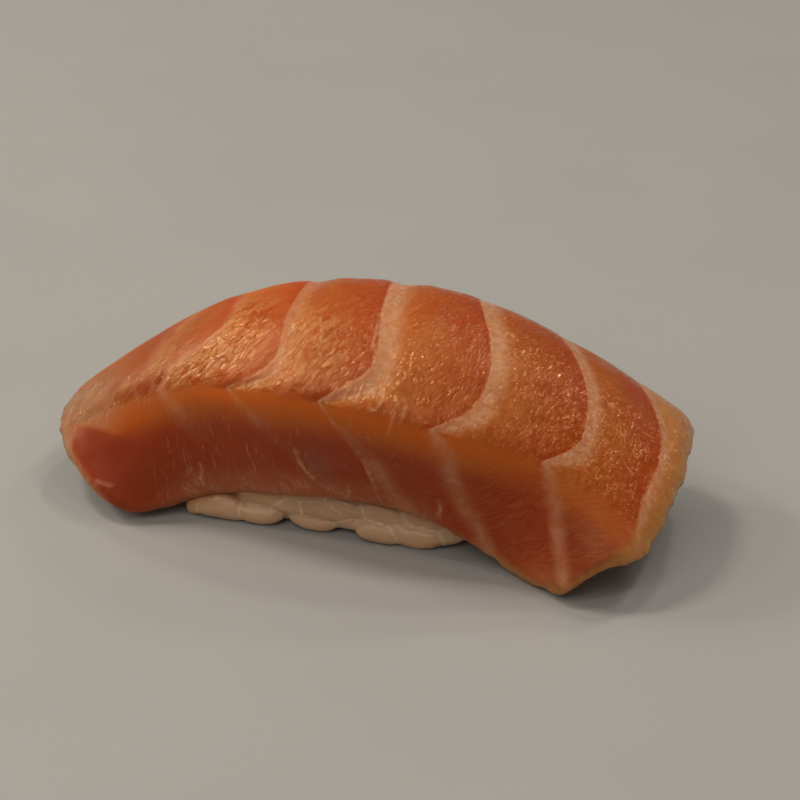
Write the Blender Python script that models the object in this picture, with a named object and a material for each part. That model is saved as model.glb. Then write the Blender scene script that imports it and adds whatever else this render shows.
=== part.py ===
"""Salmon nigiri: one slice of salmon draped over a pressed loaf of rice.

Blender 4.5 script, in metres, +Z up. The piece lies along X and stands on its
flat base at z = 0, with the shaded front of the slice towards -Y. The origin
is under the middle of the whole piece.

The slice is a slab that is mapped onto a drape. Across the slab, v runs from
the front edge (0) over the folded ridge and the crest to the back edge (1).
Along the slab, the drape's crest height, ridge distance and slopes follow
smooth curves through a few stations. The rice is a rounded loaf with a lumpy
outline, cut by the underside of the slice.
"""

import math

import bmesh
import bpy
import numpy as np

# Stations along the slice, and what the drape measures at each of them.
STATIONS_X = (-0.0385, -0.0310, -0.0200, -0.0060, 0.0090, 0.0230, 0.0310, 0.0385)
CREST_HEIGHT = (0.0072, 0.0134, 0.0210, 0.0257, 0.0251, 0.0198, 0.0153, 0.0104)
CREST_DEPTH = (-0.0026, -0.0018, -0.0012, -0.0010, -0.0004, -0.0004, -0.0004, -0.0006)
CREST_TO_RIDGE = (0.0044, 0.0061, 0.0101, 0.0146, 0.0164, 0.0143, 0.0153, 0.0190)
RIDGE_SLOPE_DEG = (27.0, 29.0, 34.0, 38.0, 39.0, 36.0, 36.0, 38.0)
FACE_SLOPE_DEG = (39.0, 54.0, 89.0, 99.0, 101.0, 75.0, 45.0, 35.0)
FACE_WIDTH = (0.0151, 0.0148, 0.0154, 0.0147, 0.0142, 0.0149, 0.0092, 0.0026)
BACK_WIDTH = 0.0150
BACK_SLOPE_DEG = 78.0
FOLD_LENGTH = 0.0030
SOFT_FOLD_LENGTH = 0.0130

# Outline of the slice: where its two ends lie at stations across the slab.
RIDGE_V = 0.34
CREST_V = 0.66
STATIONS_V = (0.0, 0.17, RIDGE_V, 0.50, CREST_V, 0.83, 1.0)
LEFT_END_X = (-0.0276, -0.0332, -0.0375, -0.0383, -0.0387, -0.0371, -0.0330)
RIGHT_END_X = (0.0253, 0.0322, 0.0346, 0.0367, 0.0374, 0.0366, 0.0330)
CORNER_PULL = 0.035

# Thickness of the slice, and how it thins out towards its edges.
SLICE_THICKNESS = 0.0050
LEFT_END_THINNING = 0.78
RIGHT_END_THINNING = 0.50
FRONT_EDGE_THINNING = 0.56
BACK_EDGE_THINNING = 0.70
RIM_ROUNDING = 0.0013
REST_CLEARANCE = 0.0003

# Muscle segments: cusps of the fat lines along the ridge, and the swell between them.
CUSP_X = (-0.0470, -0.0368, -0.0237, -0.0144, -0.0033, 0.0094, 0.0218, 0.0325, 0.0445)
UPPER_ARM_SHIFT = 0.0054
UPPER_ARM_RISE = 0.0060
LOWER_ARM_SLOPE = (0.82, 0.82, 0.82, 0.85, 0.72, 0.38, 0.29, 0.10, 0.10)
SEGMENT_SWELL = 0.00040

# Rice loaf.
RICE_GAP = 0.0003
CUTTER_REACH = 0.0030
RICE_CENTRE = (-0.0008, -0.0012)
RICE_HALF_LENGTH = 0.0230
RICE_FRONT = 0.0104
RICE_BACK = 0.0112
RICE_TOP = 0.0226
RICE_WIDEST_Z = 0.0030
RICE_BELOW = 0.0062
RICE_ROUNDNESS = 3.4
LUMP_HEIGHT = 0.00040
LUMP_WAVELENGTH = 0.0085

# Shift that puts the origin under the middle of the whole piece.
CENTRE_SHIFT = (0.0006, 0.0041, 0.0)

SLICE_SEGMENTS = (46, 24, 4)
RICE_SEGMENTS = (26, 14, 12)
PATH_STEPS = 40


def remove_objects():
    """Empty the scene."""
    for scene_object in list(bpy.data.objects):
        bpy.data.objects.remove(scene_object, do_unlink=True)


def new_collection(name):
    """Add a collection under the scene's own."""
    collection = bpy.data.collections.new(name)
    bpy.context.scene.collection.children.link(collection)
    return collection


def new_material(name, colour, roughness):
    """A Principled material of one colour."""
    material = bpy.data.materials.new(name)
    material.use_nodes = True
    shader = material.node_tree.nodes["Principled BSDF"]
    shader.inputs["Base Color"].default_value = (*colour, 1.0)
    shader.inputs["Roughness"].default_value = roughness
    shader.inputs["Metallic"].default_value = 0.0
    material.diffuse_color = (*colour, 1.0)
    return material


def smooth_step(low, high, value):
    """0 below low, 1 above high, and a smooth rise between."""
    t = np.clip((value - low) / (high - low), 0.0, 1.0)
    return t * t * (3.0 - 2.0 * t)


def station_curve(stations, values, position):
    """Smooth curve through the values at the stations (cubic Hermite)."""
    stations = np.asarray(stations)
    values = np.asarray(values)
    position = np.asarray(position)
    widths = np.diff(stations)
    slopes = np.diff(values) / widths
    tangents = np.empty(len(values))
    tangents[1:-1] = (slopes[:-1] * widths[1:] + slopes[1:] * widths[:-1]) / (widths[1:] + widths[:-1])
    tangents[0] = 1.5 * slopes[0] - 0.5 * tangents[1]
    tangents[-1] = 1.5 * slopes[-1] - 0.5 * tangents[-2]
    i = np.clip(np.searchsorted(stations, position) - 1, 0, len(widths) - 1)
    t = np.clip((position - stations[i]) / widths[i], -0.3, 1.3)
    start = (2.0 * t**3 - 3.0 * t**2 + 1.0) * values[i] + (t**3 - 2.0 * t**2 + t) * widths[i] * tangents[i]
    end = (3.0 * t**2 - 2.0 * t**3) * values[i + 1] + (t**3 - t**2) * widths[i] * tangents[i + 1]
    return start + end


def distance_from_crest(x, v):
    """Distance along the drape from the crest, positive towards the front."""
    to_ridge = station_curve(STATIONS_X, CREST_TO_RIDGE, x)
    face = station_curve(STATIONS_X, FACE_WIDTH, x)
    front = to_ridge + face * (1.0 - v / RIDGE_V)
    upper = to_ridge * (CREST_V - v) / (CREST_V - RIDGE_V)
    back = BACK_WIDTH * (CREST_V - v) / (1.0 - CREST_V)
    return np.where(v <= RIDGE_V, front, np.where(v <= CREST_V, upper, back))


def drape(x, v, fold_length):
    """Points of the drape over the rice, from a walk away from the crest.

    The slope rises from level at the crest to the ridge's slope, and then
    turns to the face's slope within fold_length across the ridge.
    """
    to_ridge = np.maximum(station_curve(STATIONS_X, CREST_TO_RIDGE, x), 0.0005)
    ridge_slope = np.radians(station_curve(STATIONS_X, RIDGE_SLOPE_DEG, x))
    face_slope = np.radians(station_curve(STATIONS_X, FACE_SLOPE_DEG, x))
    reach = distance_from_crest(x, v)
    steps = (np.arange(PATH_STEPS) + 0.5) / PATH_STEPS
    walked = reach[:, None] * steps
    ramp = ridge_slope[:, None] * np.clip(walked / (0.75 * to_ridge[:, None]), 0.0, 1.0)
    fold_start = to_ridge[:, None] - fold_length
    fold_end = to_ridge[:, None] + 0.5 * fold_length
    fold = (face_slope - ridge_slope)[:, None] * smooth_step(fold_start, fold_end, walked)
    back_slope = math.radians(BACK_SLOPE_DEG) * smooth_step(0.0, BACK_WIDTH, -walked)
    slope = np.where(walked >= 0.0, ramp + fold, -back_slope)
    stride = reach[:, None] / PATH_STEPS
    y = station_curve(STATIONS_X, CREST_DEPTH, x) - np.sum(np.cos(slope) * stride, axis=1)
    z = station_curve(STATIONS_X, CREST_HEIGHT, x) - np.sum(np.sin(slope) * stride, axis=1)
    return np.stack([x, y, z], axis=1)


def drape_normal(x, v):
    """Outward directions of the drape, with the ridge rounded off."""
    step_x = 0.0004
    step_v = 0.01
    along = drape(x + step_x, v, SOFT_FOLD_LENGTH) - drape(x - step_x, v, SOFT_FOLD_LENGTH)
    across = drape(x, v + step_v, SOFT_FOLD_LENGTH) - drape(x, v - step_v, SOFT_FOLD_LENGTH)
    normal = np.cross(along, across)
    return normal / np.linalg.norm(normal, axis=1)[:, None]


def segment_swell(x, v):
    """Height of the muscle segments above the fat lines between them."""
    to_ridge = station_curve(STATIONS_X, CREST_TO_RIDGE, x)
    above_ridge = to_ridge - distance_from_crest(x, v)
    rise = 1.0 - (1.0 - np.clip(above_ridge / UPPER_ARM_RISE, 0.0, 1.0)) ** 2
    lower_slope = np.interp(x, CUSP_X, LOWER_ARM_SLOPE)
    shift = UPPER_ARM_SHIFT * rise + lower_slope * np.clip(-above_ridge, 0.0, None)
    phase = np.interp(x - shift, CUSP_X, np.arange(len(CUSP_X)))
    place = phase - np.floor(phase)
    return SEGMENT_SWELL * (4.0 * place * (1.0 - place)) ** 0.7


def slice_thickness(u, v):
    """Thickness of the slab, less towards its four edges."""
    left = LEFT_END_THINNING + (1.0 - LEFT_END_THINNING) * smooth_step(0.0, 0.22, u)
    right = RIGHT_END_THINNING + (1.0 - RIGHT_END_THINNING) * smooth_step(0.0, 0.35, 1.0 - u)
    front = FRONT_EDGE_THINNING + (1.0 - FRONT_EDGE_THINNING) * smooth_step(0.0, RIDGE_V, v)
    back = BACK_EDGE_THINNING + (1.0 - BACK_EDGE_THINNING) * smooth_step(0.0, 0.25, 1.0 - v)
    return SLICE_THICKNESS * left * right * front * back


def subdivide_along(mesh, axis, segments):
    """Split the box's edges that run along one axis."""
    edges = [edge for edge in mesh.edges if abs((edge.verts[0].co - edge.verts[1].co)[axis]) > 1e-6]
    bmesh.ops.subdivide_edges(mesh, edges=edges, cuts=segments - 1, use_grid_fill=True)


def gridded_box(segments):
    """A cube from -1 to 1 with this many segments along X, Y and Z."""
    mesh = bmesh.new()
    bmesh.ops.create_cube(mesh, size=2.0)
    for axis, count in enumerate(segments):
        subdivide_along(mesh, axis, count)
    return mesh


def finish_object(mesh, name, collection, material):
    """Turn a bmesh into an object with smooth faces and sharp edges kept."""
    bmesh.ops.recalc_face_normals(mesh, faces=mesh.faces)
    data = bpy.data.meshes.new(name)
    mesh.to_mesh(data)
    mesh.free()
    data.shade_smooth()
    data.set_sharp_from_angle(angle=math.radians(50.0))
    if material is not None:
        data.materials.append(material)
    new_object = bpy.data.objects.new(name, data)
    collection.objects.link(new_object)
    return new_object


def move_vertices(mesh, positions):
    """Give every vertex its new place."""
    for vertex, position in zip(mesh.verts, positions):
        vertex.co = position


def slice_mesh(growth, reach):
    """The draped slab, grown by this much on all sides and outwards by reach.

    A box is mapped onto the drape. Its third axis is the thickness, and its
    side walls become half-round rims.
    """
    mesh = gridded_box(SLICE_SEGMENTS)
    box = np.array([vertex.co[:] for vertex in mesh.verts])
    rim_angle = box[:, 2] * math.pi / 2.0
    inset = RIM_ROUNDING * (1.0 - np.cos(rim_angle)) - growth
    length = RIGHT_END_X[3] - LEFT_END_X[3]
    width = BACK_WIDTH + CREST_TO_RIDGE[4] + FACE_WIDTH[4]
    corner = CORNER_PULL * np.abs(box[:, 0]) ** 9 * np.abs(box[:, 1]) ** 5
    u = 0.5 + 0.5 * box[:, 0] * (1.0 - 2.0 * inset / length - corner)
    v = 0.5 + 0.5 * box[:, 1] * (1.0 - 2.0 * inset / width - corner)
    left = station_curve(STATIONS_V, LEFT_END_X, v)
    right = station_curve(STATIONS_V, RIGHT_END_X, v)
    x = left + (right - left) * u
    outer = drape(x, v, FOLD_LENGTH)
    normal = drape_normal(x, v)
    thickness = slice_thickness(u, v)
    side = np.sin(rim_angle)
    border = np.minimum(np.minimum(u, 1.0 - u) * length, np.minimum(v, 1.0 - v) * width)
    swell = segment_swell(x, v) * (side > 0.5) * smooth_step(0.0, 0.003, border)
    outwards = growth * side + reach * (0.5 + 0.5 * side)
    depth = 0.5 * thickness * (1.0 - side) - outwards - swell
    points = outer - normal * depth[:, None] + np.array(CENTRE_SHIFT)
    if growth == 0.0:
        points[:, 2] = np.maximum(points[:, 2], REST_CLEARANCE)
    move_vertices(mesh, points)
    return mesh


def lump_height(points):
    """Uneven skin of the rice, like grains pressed together."""
    wave = 2.0 * math.pi / LUMP_WAVELENGTH
    x, y, z = (points * wave).T
    coarse = np.sin(0.9 * x + 1.3 * y + 0.4) * np.sin(1.1 * z - 0.5 * x + 1.7)
    fine = np.sin(1.7 * x - 0.8 * y + 1.4 * z + 2.1) * np.sin(1.5 * y + 0.9 * x + 0.3)
    return LUMP_HEIGHT * (coarse + 0.6 * fine)


def rice_mesh():
    """The whole loaf before the slice is cut out of it.

    A box is blown up to a superellipsoid that is wider near its base and is
    cut off flat at z = 0.
    """
    mesh = gridded_box(RICE_SEGMENTS)
    box = np.array([vertex.co[:] for vertex in mesh.verts])
    radius = np.sum(np.abs(box) ** RICE_ROUNDNESS, axis=1) ** (1.0 / RICE_ROUNDNESS)
    ball = box / radius[:, None]
    half_width = np.where(ball[:, 1] < 0.0, RICE_FRONT, RICE_BACK)
    half_height = np.where(ball[:, 2] > 0.0, RICE_TOP - RICE_WIDEST_Z, RICE_BELOW)
    z = RICE_WIDEST_Z + half_height * ball[:, 2]
    x = RICE_CENTRE[0] + RICE_HALF_LENGTH * ball[:, 0]
    y = RICE_CENTRE[1] + half_width * ball[:, 1]
    points = np.stack([x, y, z], axis=1)
    points = points + ball * lump_height(points)[:, None]
    points[:, 2] = np.maximum(points[:, 2], 0.0)
    move_vertices(mesh, points + np.array(CENTRE_SHIFT))
    return mesh


def cut_away(target, cutter):
    """Take the cutter's space out of the target."""
    cut = target.modifiers.new("under_slice", "BOOLEAN")
    cut.operation = "DIFFERENCE"
    cut.solver = "EXACT"
    cut.object = cutter
    cutter.hide_render = True
    cutter.display_type = "WIRE"


def build():
    """Make the slice, the rice and the cutter between them."""
    remove_objects()
    parts = new_collection("salmon_nigiri")
    cutters = new_collection("cutters")
    salmon = new_material("salmon_flesh", (0.62, 0.20, 0.06), 0.35)
    cooked_rice = new_material("cooked_rice", (0.72, 0.64, 0.50), 0.50)
    finish_object(slice_mesh(0.0, 0.0), "salmon_slice", parts, salmon)
    rice = finish_object(rice_mesh(), "rice", parts, cooked_rice)
    cutter = finish_object(slice_mesh(RICE_GAP, CUTTER_REACH), "slice_cutter", cutters, None)
    cut_away(rice, cutter)


build()
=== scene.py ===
"""Salmon nigiri: a wet slice of salmon draped over a pressed loaf of rice.

Blender 4.5 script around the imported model. Lengths are in metres unless a name
ends in _mm, and +Z is up. The piece lies along X, and the shaded front of the
slice looks towards -Y. On the slice, "spot" coordinates are millimetres along
X and millimetres above the folded ridge, measured over the skin.
"""

import logging
import math
from dataclasses import dataclass, field

import bmesh
import bpy
import numpy as np
from mathutils import Matrix, Vector
from mathutils.bvhtree import BVHTree


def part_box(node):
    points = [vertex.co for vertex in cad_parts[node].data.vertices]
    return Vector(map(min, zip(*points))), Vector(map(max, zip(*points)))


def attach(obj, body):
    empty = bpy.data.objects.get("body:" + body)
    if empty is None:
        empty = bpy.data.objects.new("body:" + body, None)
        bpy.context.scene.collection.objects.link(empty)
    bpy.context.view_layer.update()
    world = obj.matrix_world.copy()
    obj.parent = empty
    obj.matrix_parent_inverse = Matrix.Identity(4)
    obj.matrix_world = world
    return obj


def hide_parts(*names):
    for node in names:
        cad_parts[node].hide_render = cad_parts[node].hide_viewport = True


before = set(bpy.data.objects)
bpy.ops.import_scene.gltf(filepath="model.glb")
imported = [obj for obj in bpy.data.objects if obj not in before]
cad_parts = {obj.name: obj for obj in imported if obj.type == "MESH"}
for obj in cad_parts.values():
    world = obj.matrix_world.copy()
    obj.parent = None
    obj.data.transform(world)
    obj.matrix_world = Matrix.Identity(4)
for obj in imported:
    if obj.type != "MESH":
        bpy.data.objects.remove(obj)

Array = np.ndarray
Facts = dict[str, np.ndarray]
Values = dict[str | int, object]
Mesh = bmesh.types.BMesh
Material = bpy.types.Material
Tree = bpy.types.NodeTree
Socket = bpy.types.NodeSocket
Place = tuple[float, float, float]
Colour = tuple[float, float, float]
Row = tuple[float, ...]

MM = 0.001
HALVES = (0.5, 0.5, 0.5)
LOG = logging.getLogger("salmon_nigiri")


# ---- shared maths


def rise(low: float, high: float, value: Array) -> Array:
    """Turn values into shares that rise smoothly from 0 to 1.

    Args:
        low: Where the rise starts.
        high: Where it ends.
        value: The values.

    Returns:
        One share for each value.
    """
    t = np.clip((value - low) / (high - low), 0.0, 1.0)
    return t * t * (3.0 - 2.0 * t)


def fall(low: float, high: float, value: Array) -> Array:
    """Turn values into shares that fall smoothly from 1 to 0."""
    return 1.0 - rise(low, high, value)


def curve(stations: Row, values: Row, position: Array) -> Array:
    """Follow a smooth curve through the values at the stations.

    Args:
        stations: Rising positions.
        values: What the curve measures at each of them.
        position: Where to read the curve.

    Returns:
        The curve's value at each position.
    """
    knots = np.asarray(stations, dtype=float)
    heights = np.asarray(values, dtype=float)
    widths = np.diff(knots)
    slopes = np.diff(heights) / widths
    tangents = np.empty(len(heights))
    tangents[1:-1] = (slopes[:-1] * widths[1:] + slopes[1:] * widths[:-1]) / (widths[1:] + widths[:-1])
    tangents[0] = 1.5 * slopes[0] - 0.5 * tangents[1]
    tangents[-1] = 1.5 * slopes[-1] - 0.5 * tangents[-2]
    i = np.clip(np.searchsorted(knots, position) - 1, 0, len(widths) - 1)
    overshoot = 0.3
    t = np.clip((position - knots[i]) / widths[i], -overshoot, 1.0 + overshoot)
    start = (2.0 * t**3 - 3.0 * t**2 + 1.0) * heights[i] + (t**3 - 2.0 * t**2 + t) * widths[i] * tangents[i]
    end = (3.0 * t**2 - 2.0 * t**3) * heights[i + 1] + (t**3 - t**2) * widths[i] * tangents[i + 1]
    return start + end


def scrambled(cell_x: Array, cell_y: Array, seed: int) -> Array:
    """One number from 0 to 1 for each whole-numbered cell, the same each run."""
    mixed = cell_x * 374761393 + cell_y * 668265263 + seed * 1442695041
    mixed = ((mixed ^ (mixed >> 13)) * 1274126177) & 0xFFFFFFFF
    return (mixed ^ (mixed >> 16)) / 4294967296.0


def waves(x: Array, y: Array, seed: int) -> Array:
    """Smooth uneven waves, about one unit long, the same each run.

    Args:
        x: First coordinates.
        y: Second coordinates.
        seed: Which pattern of waves.

    Returns:
        Heights from about -1 to 1.
    """
    cell_x = np.floor(x).astype(np.int64)
    cell_y = np.floor(y).astype(np.int64)
    part_x = x - cell_x
    part_y = y - cell_y
    ease_x = part_x**3 * (part_x * (part_x * 6.0 - 15.0) + 10.0)
    ease_y = part_y**3 * (part_y * (part_y * 6.0 - 15.0) + 10.0)

    def corner(step_x: int, step_y: int) -> Array:
        """Share of one corner of the cell."""
        angle = scrambled(cell_x + step_x, cell_y + step_y, seed) * 2.0 * math.pi
        return np.cos(angle) * (part_x - step_x) + np.sin(angle) * (part_y - step_y)

    low = corner(0, 0) * (1.0 - ease_x) + corner(1, 0) * ease_x
    high = corner(0, 1) * (1.0 - ease_x) + corner(1, 1) * ease_x
    return 1.6 * (low * (1.0 - ease_y) + high * ease_y)


def plates(x: Array, y: Array, seed: int) -> Array:
    """Small tilted plates, about one unit wide, like crumpled film.

    Args:
        x: First coordinates.
        y: Second coordinates.
        seed: Which pattern of plates.

    Returns:
        Heights from about -0.5 to 0.5.
    """
    nearest = np.full(len(x), 9.0)
    height = np.zeros(len(x))
    for step_x in (-1, 0, 1):
        for step_y in (-1, 0, 1):
            here = (np.floor(x).astype(np.int64) + step_x, np.floor(y).astype(np.int64) + step_y)
            gap_x = x - here[0] - scrambled(*here, seed)
            gap_y = y - here[1] - scrambled(*here, seed + 1)
            tilt_x = scrambled(*here, seed + 2) - 0.5
            tilt_y = scrambled(*here, seed + 3) - 0.5
            square = gap_x * gap_x + gap_y * gap_y
            height = np.where(square < nearest, gap_x * tilt_x + gap_y * tilt_y, height)
            nearest = np.minimum(nearest, square)
    return height


def turned(x: Array, y: Array, degrees: float, long: float, wide: float) -> tuple[Array, Array]:
    """Coordinates for waves that are stretched along one direction.

    Args:
        x: First coordinates.
        y: Second coordinates.
        degrees: Direction of the stretch, from the first axis.
        long: Length of a wave along it.
        wide: Length of a wave across it.

    Returns:
        The coordinates to read the waves at.
    """
    angle = math.radians(degrees)
    along = x * math.cos(angle) + y * math.sin(angle)
    across = y * math.cos(angle) - x * math.sin(angle)
    return along / long, across / wide


def blob(x: Array, y: Array, middle: Row, size: Row) -> Array:
    """Shares that fade away from 1 at the middle of a soft oval."""
    return np.exp(-(((x - middle[0]) / size[0]) ** 2) - (((y - middle[1]) / size[1]) ** 2))


# ---- mesh helpers


def vertex_places(mesh: Mesh) -> Array:
    """Every vertex's place as one array."""
    return np.array([vertex.co[:] for vertex in mesh.verts])


def move_vertices(mesh: Mesh, places: Array) -> None:
    """Give every vertex its new place."""
    for vertex, place in zip(mesh.verts, places):
        vertex.co = place


def fine_box(segments: tuple[int, int, int]) -> Mesh:
    """Make a box from -1 to 1, split along its three axes.

    Args:
        segments: Pieces along X, Y and Z.

    Returns:
        The box.
    """
    mesh = bmesh.new()
    bmesh.ops.create_cube(mesh, size=2.0)
    for axis, count in enumerate(segments):
        edges = [edge for edge in mesh.edges if abs((edge.verts[0].co - edge.verts[1].co)[axis]) > 1e-6]
        bmesh.ops.subdivide_edges(mesh, edges=edges, cuts=count - 1, use_grid_fill=True)
    return mesh


def drop_bubbles(mesh: Mesh) -> None:
    """Keep only the largest shell, without the bubbles shut in between grains.

    Args:
        mesh: The mesh to clean.
    """
    loose = set(mesh.verts)
    shells = []
    while loose:
        front = [loose.pop()]
        shell = list(front)
        while front:
            vertex = front.pop()
            fresh = {edge.other_vert(vertex) for edge in vertex.link_edges} & loose
            loose -= fresh
            front.extend(fresh)
            shell.extend(fresh)
        shells.append(shell)
    shells.sort(key=len)
    bubbles = [vertex for shell in shells[:-1] for vertex in shell]
    bmesh.ops.delete(mesh, geom=bubbles, context="VERTS")


def finish_mesh(mesh: Mesh, name: str, material: Material) -> bpy.types.Object:
    """Turn a bmesh into a smooth object in the scene.

    Args:
        mesh: The finished bmesh, which is freed.
        name: Name of the piece.
        material: Its only material.

    Returns:
        The new object.
    """
    data = bpy.data.meshes.new(name)
    mesh.to_mesh(data)
    mesh.free()
    data.shade_smooth()
    data.materials.append(material)
    piece = bpy.data.objects.new(name, data)
    bpy.context.scene.collection.objects.link(piece)
    return piece


def store(data: bpy.types.Mesh, name: str, *columns: Array) -> None:
    """Keep three numbers per vertex as a named attribute.

    Args:
        data: The mesh.
        name: Name that the material reads.
        *columns: The numbers that the material finds as X, Y and Z.
    """
    layer = data.attributes.new(name, "FLOAT_VECTOR", "POINT")
    layer.data.foreach_set("vector", np.stack(columns, axis=1).astype(np.float32).ravel())


# ---- shader helpers


class NodeSheet:
    """Short ways to lay out one shader node tree."""

    def __init__(self, tree: Tree) -> None:
        """Keep the tree that the nodes go into."""
        self.tree = tree

    def feed(self, node: bpy.types.Node, values: Values) -> None:
        """Link a node's inputs, or set their plain values.

        Args:
            node: The node.
            values: Value or socket for each input, by name or number.
        """
        for key, value in values.items():
            socket = node.inputs[key]
            if isinstance(value, Socket):
                self.tree.links.new(value, socket)
            elif isinstance(value, tuple) and socket.type == "RGBA":
                socket.default_value = (*value, 1.0)
            else:
                socket.default_value = value

    def put(self, kind: str, values: Values, output: str | int = 0, **settings: object) -> Socket:
        """Add a node, feed it and give one of its outputs.

        Args:
            kind: Type of the node.
            values: Value or socket for each input.
            output: Name or number of the output.
            **settings: The node's properties.

        Returns:
            The output's socket.
        """
        node = self.tree.nodes.new("ShaderNode" + kind)
        for name, setting in settings.items():
            setattr(node, name, setting)
        self.feed(node, values)
        return node.outputs[output]

    def maximum(self, first: object, second: object) -> Socket:
        """The larger of two values."""
        return self.put("Math", {0: first, 1: second}, operation="MAXIMUM")

    def plus(self, first: object, second: object) -> Socket:
        """Sum of two values."""
        return self.put("Math", {0: first, 1: second}, operation="ADD")

    def times(self, first: object, second: object) -> Socket:
        """Product of two values."""
        return self.put("Math", {0: first, 1: second}, operation="MULTIPLY")

    def vector(self, operation: str, first: object, second: object, output: str | int = 0) -> Socket:
        """Combine two vectors by a named operation."""
        return self.put("VectorMath", {0: first, 1: second}, output, operation=operation)

    def span(self, value: object, low: object, high: object, start: float = 0.0, end: float = 1.0) -> Socket:
        """Turn the range from low to high smoothly into the range from start to end."""
        values = dict(enumerate((value, low, high, start, end)))
        return self.put("MapRange", values, interpolation_type="SMOOTHSTEP")

    def blend(self, share: object, low: object, high: object) -> Socket:
        """Blend two colours: share 0 gives the first, and 1 the second."""
        return self.put("Mix", {0: share, 6: low, 7: high}, 2, data_type="RGBA")

    def attribute(self, name: str) -> Socket:
        """The vector that the mesh keeps under this name."""
        return self.put("Attribute", {}, "Vector", attribute_name=name)

    def split(self, name: str) -> tuple[Socket, ...]:
        """The three numbers that the mesh keeps under this name."""
        return tuple(self.put("SeparateXYZ", {0: self.attribute(name)}).node.outputs)

    def noise(
        self, vector: object, scale: object, detail: float = 2.0, rough: float = 0.5, output: str = "Fac"
    ) -> Socket:
        """Soft noise, with so many waves per unit and finer layers on top."""
        values = {"Vector": vector, "Scale": scale, "Detail": detail, "Roughness": rough}
        return self.put("TexNoise", values, output)

    def place(self, group: Tree, **values: object) -> Socket:
        """Place a shared group with its own values, and give its mask."""
        return self.put("Group", values, node_tree=group)

    def bump(self, height: Socket, distance: float) -> Socket:
        """Normals of a relief, with its height in units of the distance."""
        return self.put("Bump", {"Height": height, "Distance": distance})


class SharedEffects:
    """The node groups that the finishes share."""

    def __init__(self) -> None:
        """Build each group once."""
        self.mottle = self.make_mottle()
        self.fibre = self.make_fibre()
        self.plates = self.make_plates()

    @staticmethod
    def open_group(name: str, *labels: str) -> tuple[NodeSheet, bpy.types.bpy_prop_collection]:
        """Start a group with a Vector, some values and one output.

        Args:
            name: Name of the group.
            *labels: Names of its values.

        Returns:
            Its sheet, and the sockets of its inputs by name.
        """
        group = bpy.data.node_groups.new(name, "ShaderNodeTree")
        group.interface.new_socket("Vector", in_out="INPUT", socket_type="NodeSocketVector")
        for label in labels:
            group.interface.new_socket(label, in_out="INPUT", socket_type="NodeSocketFloat")
        group.interface.new_socket("Mask", in_out="OUTPUT", socket_type="NodeSocketFloat")
        return NodeSheet(group), group.nodes.new("NodeGroupInput").outputs

    @staticmethod
    def close_group(sheet: NodeSheet, mask: Socket) -> Tree:
        """Make a value the group's output, and give the group."""
        sheet.feed(sheet.tree.nodes.new("NodeGroupOutput"), {"Mask": mask})
        return sheet.tree

    def make_mottle(self) -> Tree:
        """Soft uneven patches, from 0 to 1.

        Returns:
            The group.
        """
        sheet, source = self.open_group("mottle", "Scale", "Low", "High")
        patches = sheet.noise(source["Vector"], source["Scale"], 3.0)
        return self.close_group(sheet, sheet.span(patches, source["Low"], source["High"]))

    @staticmethod
    def squeeze(sheet: NodeSheet, source: bpy.types.bpy_prop_collection) -> Socket:
        """Turn the group's Vector and squeeze it by its Length and Width.

        Args:
            sheet: Where the nodes go.
            source: The group's inputs.

        Returns:
            The squeezed vector.
        """
        around = {"Vector": source["Vector"], "Angle": source["Turn"]}
        size = {0: source["Length"], 1: source["Width"], 2: source["Width"]}
        turn = sheet.put("VectorRotate", around, rotation_type="Z_AXIS")
        return sheet.vector("DIVIDE", turn, sheet.put("CombineXYZ", size))

    def make_fibre(self) -> Tree:
        """Long thin streaks in one direction, from 0 to 1.

        Returns:
            The group.
        """
        sheet, source = self.open_group("fibre", "Turn", "Length", "Width", "Low", "High")
        streaks = sheet.noise(self.squeeze(sheet, source), 1.0, 2.0, 0.55)
        return self.close_group(sheet, sheet.span(streaks, source["Low"], source["High"]))

    def make_plates(self) -> Tree:
        """Small tilted plates, like crumpled film, as heights around 0.

        Returns:
            The group.
        """
        sheet, source = self.open_group("plates", "Turn", "Length", "Width", "Groove")
        flat = self.squeeze(sheet, source)
        bent = sheet.vector("ADD", flat, sheet.noise(flat, 1.3, output="Color"))
        cells = {"Vector": bent, "Scale": 1.0, "Smoothness": 0.12}
        colour = sheet.put("TexVoronoi", cells, "Color", feature="SMOOTH_F1", voronoi_dimensions="2D")
        gap = sheet.vector("SUBTRACT", bent, colour.node.outputs["Position"])
        lean = sheet.vector("DOT_PRODUCT", gap, sheet.vector("SUBTRACT", colour, HALVES), "Value")
        edges = {"Vector": bent, "Scale": 1.0}
        edge = sheet.put("TexVoronoi", edges, "Distance", feature="DISTANCE_TO_EDGE", voronoi_dimensions="2D")
        groove = sheet.times(sheet.span(edge, 0.0, 0.13, -1.0, 0.0), source["Groove"])
        return self.close_group(sheet, sheet.plus(lean, groove))


def new_material(name: str) -> tuple[Material, NodeSheet, bpy.types.Node]:
    """Start a material.

    Args:
        name: Name of the finish.

    Returns:
        The material, its sheet and its Principled shader.
    """
    material = bpy.data.materials.new(name)
    material.use_nodes = True
    return material, NodeSheet(material.node_tree), material.node_tree.nodes["Principled BSDF"]


# ---- finishes


@dataclass(frozen=True)
class Streaks:
    """Thin hairs: their turn in degrees, length and width in millimetres, and cut-off."""

    turn: float
    length: float
    width: float
    low: float
    high: float


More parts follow.
